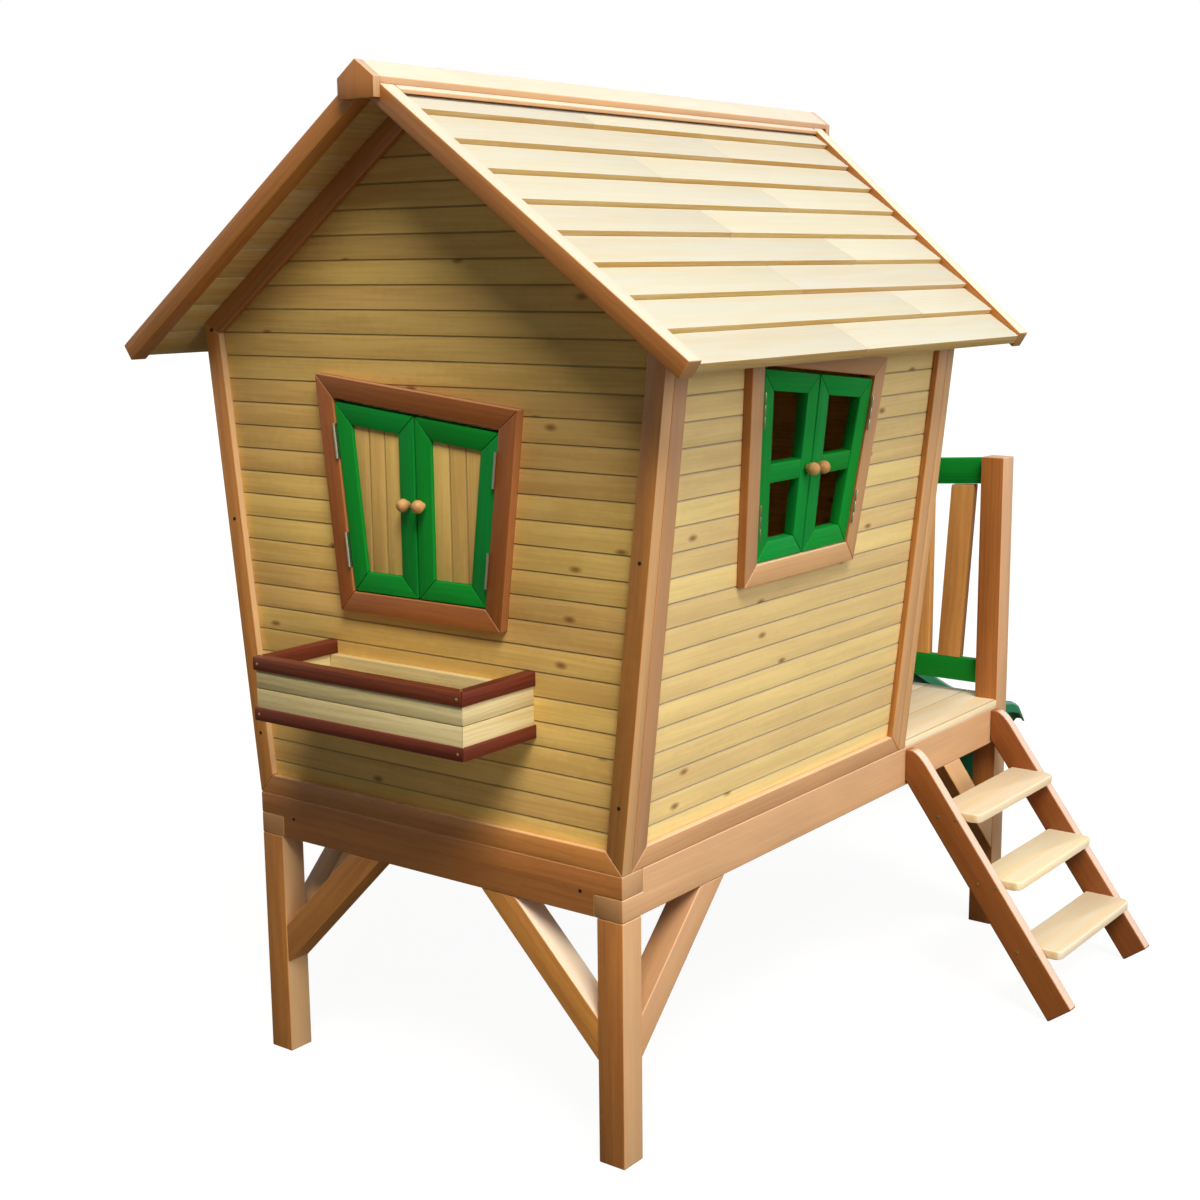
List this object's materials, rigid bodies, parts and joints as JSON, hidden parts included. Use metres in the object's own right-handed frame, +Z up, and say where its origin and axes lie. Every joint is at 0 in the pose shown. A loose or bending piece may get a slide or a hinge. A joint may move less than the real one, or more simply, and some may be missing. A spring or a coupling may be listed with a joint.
{
  "type": "raised wooden playhouse",
  "caption": "Crooked wooden playhouse on legs with a lapped roof, shuttered and casement windows, planter, porch, railing, ladder and slide.",
  "frame": {"origin": "on the ground under the middle of the bounding box", "axes": "+Z up, the planter gable faces -Y, the slide leaves towards +Y, the ladder and the casement wall are on +X"},
  "size_m": [1.484, 2.7456, 1.8877],
  "materials": {
    "stained_pine": "satin",
    "clear_stained_spruce": "satin",
    "pale_spruce_roof_boards": "matte",
    "green_paint": "satin",
    "turned_beech": "satin",
    "dark_red_stain": "satin",
    "zinc_plate": "satin",
    "moulded_hdpe": "gloss"
  },
  "bodies": {
    "house": {"leg_back_left": "stained_pine", "leg_back_right": "stained_pine", "porch_post_left": "stained_pine", "porch_post_right": "stained_pine", "side_beam_left": "stained_pine", "side_beam_right": "stained_pine", "gable_beam": "stained_pine", "front_beam": "stained_pine", "middle_joist": "stained_pine", "gable_brace_left": "stained_pine", "gable_brace_right": "stained_pine", "side_brace_left": "stained_pine", "side_brace_right": "stained_pine", "porch_brace_left": "stained_pine", "porch_brace_right": "stained_pine", "gable_battens": "stained_pine", "front_battens": "stained_pine", "right_battens": "stained_pine", "left_battens": "stained_pine", "gable_surround": "stained_pine", "side_surround": "stained_pine", "barge_near_left": "stained_pine", "barge_near_right": "stained_pine", "barge_far_left": "stained_pine", "barge_far_right": "stained_pine", "ridge_cap": "stained_pine", "ladder_stringer_near": "stained_pine", "ladder_stringer_far": "stained_pine", "house_floor": "clear_stained_spruce", "porch_deck": "clear_stained_spruce", "gable_boards": "clear_stained_spruce", "front_boards": "clear_stained_spruce", "right_boards": "clear_stained_spruce", "left_boards": "clear_stained_spruce", "planter_trough": "clear_stained_spruce", "ladder_tread_1": "clear_stained_spruce", "ladder_tread_2": "clear_stained_spruce", "ladder_tread_3": "clear_stained_spruce", "roof_left": "pale_spruce_roof_boards", "roof_right": "pale_spruce_roof_boards", "railing_front": "green_paint", "railing_left": "green_paint", "planter_top_trim": "dark_red_stain", "planter_bottom_trim": "dark_red_stain", "shutter_left_lower_hinge": "zinc_plate", "shutter_left_upper_hinge": "zinc_plate", "shutter_right_lower_hinge": "zinc_plate", "shutter_right_upper_hinge": "zinc_plate", "slide": "moulded_hdpe"},
    "shutter_left": {"shutter_left_frame": "green_paint", "shutter_left_panel": "clear_stained_spruce", "shutter_left_knob": "turned_beech"},
    "shutter_right": {"shutter_right_frame": "green_paint", "shutter_right_panel": "clear_stained_spruce", "shutter_right_knob": "turned_beech"},
    "casement_near": {"casement_near_frame": "green_paint", "casement_near_knob": "turned_beech"},
    "casement_far": {"casement_far_frame": "green_paint", "casement_far_knob": "turned_beech"}
  },
  "joints": [
    {"name": "shutter_left_hinge", "type": "hinge", "parent": "house", "child": "shutter_left", "pos_m": [-0.25198, -1.2015, 0.962], "axis": [0.1067, 0, -0.9943], "range_deg": [0, 110]},
    {"name": "shutter_right_hinge", "type": "hinge", "parent": "house", "child": "shutter_right", "pos_m": [0.06602, -1.2015, 0.962], "axis": [0.1201, 0, 0.9928], "range_deg": [0, 110]},
    {"name": "casement_near_hinge", "type": "hinge", "parent": "house", "child": "casement_near", "pos_m": [0.41471, -0.8675, 1.02584], "axis": [-0.1086, 0.1067, -0.9883], "range_deg": [0, 110]},
    {"name": "casement_far_hinge", "type": "hinge", "parent": "house", "child": "casement_far", "pos_m": [0.41471, -0.5495, 1.02584], "axis": [0.1084, 0.1201, 0.9868], "range_deg": [0, 110]}
  ]
}
